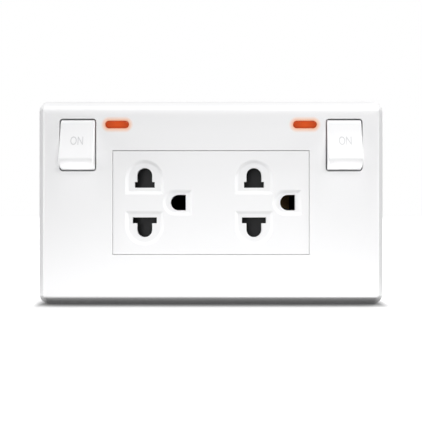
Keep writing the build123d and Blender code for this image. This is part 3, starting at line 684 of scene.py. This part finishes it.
def resistor_finish(name, centre):
    """Lacquer with colour rings round X about this centre, and bare metal near the axis for the leads."""
    material, tree, surface = new_material(name)
    place = tree.nodes.new("ShaderNodeTexCoord")
    shift = set_node(tree, "ShaderNodeMapping", Vector=place.outputs["Object"], Location=-centre)
    apart = set_node(tree, "ShaderNodeSeparateXYZ", Vector=shift.outputs["Vector"])
    along = sum_node(tree, "MULTIPLY_ADD", apart.outputs["X"], 1 / resistor_length, 0.5)
    stops = [(0.0, resistor_coat)]
    for number, colour in enumerate(ring_colours):
        start = first_ring + number * ring_step
        stops += [(start, colour), (start + ring_width, resistor_coat)]
    rings = colour_ramp(tree, along, stops, "CONSTANT")
    y_squared = sum_node(tree, "MULTIPLY", apart.outputs["Y"], apart.outputs["Y"])
    off_axis = sum_node(tree, "MULTIPLY_ADD", apart.outputs["Z"], apart.outputs["Z"], y_squared)
    bare = sum_node(tree, "LESS_THAN", off_axis, bare_radius**2)
    tree.links.new(colour_mix(tree, bare, rings, bare_lead), surface.inputs["Base Color"])
    tree.links.new(bare, surface.inputs["Metallic"])
    surface.inputs["Roughness"].default_value = 0.32
    return material


for side in sides:
    frame["nodes"][f"neon_lamp_{side}"].material_slots[0].material = lamp_glass
    low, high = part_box(f"lamp_resistor_{side}")
    toward_middle = 1 if side == "left" else -1
    lamp_end = low.x if side == "left" else high.x
    body_x = lamp_end + toward_middle * (lead_length + resistor_length / 2)
    centre = Vector((body_x, (low.y + high.y) / 2, (low.z + high.z) / 2))
    frame["nodes"][f"lamp_resistor_{side}"].material_slots[0].material = resistor_finish(
        f"resistor_{side}", centre
    )

# Rockers: white moulded keys that tip between on and off, each with a sprung plunger in its tube.
# The word ON is a thin pale print on the hollow front.
key_edge = 0.1 * mm
hollow_front = 5.4 * mm
hollow_radius = 65.1 * mm
plunger_coil = 3.64 * mm
plunger_coil_r = 1.13 * mm
plunger_coil_turns = 5
mark_width = 4.4 * mm
mark_height = 3.1 * mm
mark_thick = 0.03 * mm
mark_centre = -0.1 * mm
mark_rows = 8
letter_weld = 1e-5
print_ink = plastic(
    "print_ink",
    colour=(0.69, 0.69, 0.70),
    shift=0.1,
    roughness=0.4,
    spread=0.1,
    fineness=3000.0,
    depth=0.002 * mm,
)


def on_mark(side, pivot, inward):
    """The word ON, cut into rows and laid on the hollow front of a rocker, which faces away from inward."""
    up = Vector((1, 0, 0)).cross(inward)
    words = bpy.data.curves.new(f"on_mark_{side}_letters", "FONT")
    words.body = "ON"
    words.align_x = "CENTER"
    words.align_y = "CENTER"
    words.extrude = 0.5
    letters = add_piece(f"on_mark_{side}_letters", words)
    flat = bpy.data.meshes.new_from_object(letters.evaluated_get(bpy.context.evaluated_depsgraph_get()))
    bpy.data.objects.remove(letters)
    shape = bmesh.new()
    shape.from_mesh(flat)
    bmesh.ops.remove_doubles(shape, verts=shape.verts, dist=letter_weld)
    xs = [v.co.x for v in shape.verts]
    ys = [v.co.y for v in shape.verts]
    for row in range(1, mark_rows):
        level = min(ys) + (max(ys) - min(ys)) * row / mark_rows
        everything = shape.verts[:] + shape.edges[:] + shape.faces[:]
        bmesh.ops.bisect_plane(shape, geom=everything, plane_co=(0, level, 0), plane_no=(0, 1, 0))
    for v in shape.verts:
        across = (v.co.x - (min(xs) + max(xs)) / 2) / (max(xs) - min(xs)) * mark_width
        rise = (v.co.y - (min(ys) + max(ys)) / 2) / (max(ys) - min(ys)) * mark_height + mark_centre
        out = hollow_front + hollow_radius - sqrt(hollow_radius**2 - rise**2)
        out += v.co.z * 2 * mark_thick
        v.co = pivot + Vector((across, 0, 0)) + up * rise - inward * out
    bmesh.ops.recalc_face_normals(shape, faces=shape.faces)
    mark_mesh = bpy.data.meshes.new(f"on_mark_{side}")
    shape.to_mesh(mark_mesh)
    shape.free()
    mark_mesh.materials.append(print_ink)
    mark = add_piece(f"on_mark_{side}", mark_mesh)
    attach(mark, f"rocker_{side}")


for side in sides:
    moulded_copy(f"rocker_{side}", key_edge, white_plastic)
    moulded_copy(f"plunger_{side}", key_edge, black_plastic)
    pivot = Vector(joint_of[f"rocker_{side}_tilt"]["pos_m"])
    spring(
        f"plunger_spring_{side}",
        f"plunger_{side}_slide",
        middle=pivot,
        length=plunger_coil,
        radius=plunger_coil_r,
        turns=plunger_coil_turns,
    )
    on_mark(side, pivot, Vector(joint_of[f"plunger_{side}_slide"]["axis"]))

# Lenses: clear orange moulded lenses over the lamps, pushed in from behind the plate. The lamps' light through
# each is a painted glow that the lens gives off itself, brighter in the middle than at the ends.
lens_edge = 0.12 * mm
painted_glow_shades = ((0.0, (0.27, 0.030, 0.006)), (1.0, (0.44, 0.056, 0.008)))
painted_glow_reach = (5.0 * mm, 12.0 * mm, 2.6 * mm)
for side in sides:
    low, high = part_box(f"indicator_lens_{side}")
    lens_glow, tree, surface = new_material(f"lens_glow_{side}")
    place = tree.nodes.new("ShaderNodeTexCoord")
    shift = tree.nodes.new("ShaderNodeMapping")
    shift.vector_type = "TEXTURE"
    shift.inputs["Location"].default_value = (low + high) / 2
    shift.inputs["Scale"].default_value = painted_glow_reach
    tree.links.new(place.outputs["Object"], shift.inputs["Vector"])
    ball = set_node(tree, "ShaderNodeTexGradient", Vector=shift.outputs["Vector"])
    ball.gradient_type = "SPHERICAL"
    painted_lens_glow = colour_ramp(tree, ball.outputs["Fac"], painted_glow_shades)
    tree.links.new(painted_lens_glow, surface.inputs["Base Color"])
    tree.links.new(painted_lens_glow, surface.inputs["Emission Color"])
    # Painted glow: the lens gives off light of its own in place of the lamp's light behind it.
    surface.inputs["Emission Strength"].default_value = 0.66
    surface.inputs["Roughness"].default_value = 0.18
    surface.inputs["IOR"].default_value = 1.3
    moulded_copy(f"indicator_lens_{side}", lens_edge, lens_glow)

# Cover plate: the white moulded plate that shows on the wall, with sloping sides and soft corners, clipped
# over the frame when the screws are in. Round each lens its colour has a painted orange glow of the lamps' light.
plate_edge = 0.07 * mm
lens_flange = 1.0 * mm
painted_halo_reach = 1.6 * mm
painted_halo_share = 0.8
painted_halo_colour = (1.0, 0.40, 0.13, 1.0)
low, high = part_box("indicator_lens_right")
lens_middle = (low + high) / 2
lens_end = (high.z - low.z) / 2 - lens_flange
lens_straight = (high.x - low.x) / 2 - lens_flange - lens_end


def vector_chain(tree, last, *steps):
    """Vector Math nodes in a row, each an operation and any second value; gives the last output socket."""
    for operation, *second in steps:
        step = tree.nodes.new("ShaderNodeVectorMath")
        step.operation = operation
        for value in second:
            step.inputs[1].default_value = value
        tree.links.new(last, step.inputs[0])
        last = step.outputs["Value" if operation == "LENGTH" else "Vector"]
    return last


plate_plastic = plastic("plate_plastic", **glossy_white)
tree = plate_plastic.node_tree
surface = tree.nodes["Principled BSDF"]
# A painted glow: the plate's colour turns orange near each lens and fades out over the halo's reach.
from_lens = vector_chain(
    tree,
    tree.nodes["Texture Coordinate"].outputs["Object"],
    ("SUBTRACT", (0.0, 0.0, lens_middle.z)),
    ("ABSOLUTE",),
    ("SUBTRACT", (lens_middle.x, 0.0, 0.0)),
    ("ABSOLUTE",),
    ("SUBTRACT", (lens_straight, 1.0, 0.0)),
    ("MAXIMUM", (0.0, 0.0, 0.0)),
    ("LENGTH",),
)
painted_halo_fade = set_node(
    tree,
    "ShaderNodeMapRange",
    Value=from_lens,
    From_Min=lens_end,
    From_Max=lens_end + painted_halo_reach,
    To_Min=painted_halo_share,
    To_Max=0.0,
)
unlit = surface.inputs["Base Color"].links[0].from_socket
painted_halo = colour_mix(tree, painted_halo_fade.outputs["Result"], unlit, painted_halo_colour)
tree.links.new(painted_halo, surface.inputs["Base Color"])
moulded_copy("cover_plate", plate_edge, plate_plastic)

# Floor, light and camera: the plate stands upright on a white floor, in soft light from all round above. A
# lamp high on the right, low ones in front and at the sides, and a thin strip at the floor under each rocker
# add to it. The camera looks straight at the plate's middle.
plate_low, plate_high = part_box("cover_plate")
floor_half = 3.0
floor_gap = 0.05 * mm
floor_z = plate_low.z - floor_gap
plate_foot = 2.0 * mm
corners = ((-1, -1), (1, -1), (1, 1), (-1, 1))
floor_mesh = bpy.data.meshes.new("floor")
floor_mesh.from_pydata([(x * floor_half, y * floor_half, floor_z) for x, y in corners], [], [(0, 1, 2, 3)])
floor = add_piece("floor", floor_mesh)
floor_paint, floor_tree, surface = new_material("floor_paint")
floor_place = floor_tree.nodes.new("ShaderNodeTexCoord")


def painted_floor_shade(half_width, side_rate, reach, *greys):
    """A painted shade: a grey that changes with the distance from a strip of the floor along the plate's foot.

    The distance grows side_rate times as fast past the strip's ends, and each grey comes after its share
    of the reach.
    """
    away = vector_chain(
        floor_tree,
        floor_place.outputs["Object"],
        ("ABSOLUTE",),
        ("SUBTRACT", (half_width, plate_foot, 1.0)),
        ("MAXIMUM", (0.0, 0.0, 0.0)),
        ("MULTIPLY", (side_rate, 1.0, 1.0)),
        ("LENGTH",),
    )
    share = sum_node(floor_tree, "DIVIDE", away, reach)
    return colour_ramp(floor_tree, share, [(position, (grey, grey, grey)) for position, grey in greys])


def shown_apart(tree, shown, thrown, end):
    """The camera sees one shader, and the pieces are lit by the other; end is the tree's output node."""
    path = tree.nodes.new("ShaderNodeLightPath")
    choice = tree.nodes.new("ShaderNodeMixShader")
    tree.links.new(path.outputs["Is Camera Ray"], choice.inputs["Fac"])
    tree.links.new(thrown, choice.inputs[1])
    tree.links.new(shown, choice.inputs[2])
    tree.links.new(choice.outputs["Shader"], tree.nodes[end].inputs["Surface"])


shadow_half = plate_high.x - 1.5 * mm
shadow_rate = 3.0
shadow_reach = 14.0 * mm
pool_half = plate_high.x - 4.0 * mm
pool_rate = 4.0
pool_reach = 220.0 * mm
painted_bounce_strength = 1.12
# A painted contact shadow: the floor's colour and its own light grow darker towards the plate's foot.
painted_contact_shadow = painted_floor_shade(shadow_half, shadow_rate, shadow_reach, (0.0, 0.25), (1.0, 0.95))
floor_tree.links.new(painted_contact_shadow, surface.inputs["Base Color"])
painted_shadow_emission = painted_floor_shade(shadow_half, shadow_rate, shadow_reach, (0.0, 0.08), (1.0, 0.35))
floor_tree.links.new(painted_shadow_emission, surface.inputs["Emission Color"])
surface.inputs["Emission Strength"].default_value = 1.0
surface.inputs["Roughness"].default_value = 0.9
# A painted pool of light: the floor gives off light for the pieces only, dark at the plate's foot, bright a little
# way off and fading further out.
painted_foot_shade = painted_floor_shade(plate_high.x, 1.0, shadow_reach, (0.0, 0.06), (0.45, 0.05), (0.95, 1.0))
painted_pool_fade = painted_floor_shade(pool_half, pool_rate, pool_reach, (0.0, 0.95), (0.22, 0.95), (0.42, 0.36), (1.0, 0.02))
painted_light_pool = floor_tree.nodes.new("ShaderNodeVectorMath")
painted_light_pool.operation = "MULTIPLY"
floor_tree.links.new(painted_foot_shade, painted_light_pool.inputs[0])
floor_tree.links.new(painted_pool_fade, painted_light_pool.inputs[1])
painted_bounce = set_node(floor_tree, "ShaderNodeEmission", Color=painted_light_pool.outputs["Vector"], Strength=painted_bounce_strength)
shown_apart(floor_tree, surface.outputs["BSDF"], painted_bounce.outputs["Emission"], "Material Output")
floor_mesh.materials.append(floor_paint)

backdrop_white = (1.0, 1.0, 1.0, 1.0)
sky_shades = ((0.05, (0.03, 0.03, 0.03)), (0.25, (0.92, 0.92, 0.925)), (0.8, (1.0, 1.0, 1.0)))
room_strength = 1.19
dark_from = 0.5
dark_by = 0.9
world = bpy.data.worlds.new("studio")
world.use_nodes = True
tree = world.node_tree
direction = tree.nodes.new("ShaderNodeTexCoord")
toward = set_node(tree, "ShaderNodeSeparateXYZ", Vector=direction.outputs["Generated"])
behind = set_node(
    tree,
    "ShaderNodeMapRange",
    Value=toward.outputs["Y"],
    From_Min=dark_from,
    From_Max=dark_by,
    To_Min=room_strength,
    To_Max=0.0,
)
room = tree.nodes["Background"]
tree.links.new(colour_ramp(tree, toward.outputs["Z"], sky_shades), room.inputs["Color"])
tree.links.new(behind.outputs["Result"], room.inputs["Strength"])
backdrop = set_node(tree, "ShaderNodeBackground", Color=backdrop_white)
shown_apart(tree, backdrop.outputs["Background"], room.outputs["Background"], "World Output")
bpy.context.scene.world = world
bpy.context.scene.view_settings.view_transform = "Standard"


def soft_light(name, place, target, width, height, watts, spread, mirrored=True):
    """A rectangular soft light that faces a target; spread is the angle that it shines over, in degrees."""
    lamp = bpy.data.lights.new(name, "AREA")
    lamp.shape = "RECTANGLE"
    lamp.size = width
    lamp.size_y = height
    lamp.energy = watts
    lamp.spread = radians(spread)
    holder = bpy.data.objects.new(name, lamp)
    bpy.context.collection.objects.link(holder)
    holder.location = place
    holder.rotation_euler = (Vector(target) - Vector(place)).to_track_quat("-Z", "Y").to_euler()
    holder.visible_glossy = mirrored
    holder.visible_camera = False


soft_light(
    "key_light",
    place=(0.35, -0.6, 0.7),
    target=(0.07, 0, 0.01),
    width=0.2,
    height=0.2,
    watts=0.075,
    spread=30,
)
soft_light(
    "left_light",
    place=(-0.50, -0.70, 0.0),
    target=(-0.02, 0, 0.03),
    width=0.2,
    height=0.1,
    watts=0.029,
    spread=40,
)
soft_light(
    "right_light",
    place=(0.50, -0.70, 0.0),
    target=(0.05, 0, 0.03),
    width=0.2,
    height=0.1,
    watts=0.048,
    spread=40,
)
soft_light(
    "left_edge_light",
    place=(-0.90, -0.08, 0.08),
    target=(-0.062, 0, 0.005),
    width=0.2,
    height=0.2,
    watts=0.12,
    spread=30,
    mirrored=False,
)
soft_light(
    "right_edge_light",
    place=(0.90, -0.08, 0.08),
    target=(0.062, 0, 0.005),
    width=0.2,
    height=0.2,
    watts=0.105,
    spread=30,
    mirrored=False,
)
strip_y = -14.5 * mm
strip_z = floor_z + 2.5 * mm
nose_y = -10.8 * mm
nose_z = 13.0 * mm
for side in sides:
    rocker_x = joint_of[f"rocker_{side}_tilt"]["pos_m"][0]
    soft_light(
        f"{side}_foot_light",
        place=(rocker_x, strip_y, strip_z),
        target=(rocker_x, nose_y, nose_z),
        width=13.0 * mm,
        height=1.0 * mm,
        watts=0.00014,
        spread=10,
        mirrored=False,
    )

camera_distance = 229.0 * mm
camera_height = -2.95 * mm
camera_data = bpy.data.cameras.new("camera")
camera_data.sensor_width = 36.0
camera_data.lens = 53.67
camera_data.clip_start = 1.0 * mm
camera = bpy.data.objects.new("camera", camera_data)
bpy.context.collection.objects.link(camera)
camera.location = (0, -camera_distance, camera_height)
camera.rotation_euler = (radians(90), 0, 0)
bpy.context.scene.camera = camera
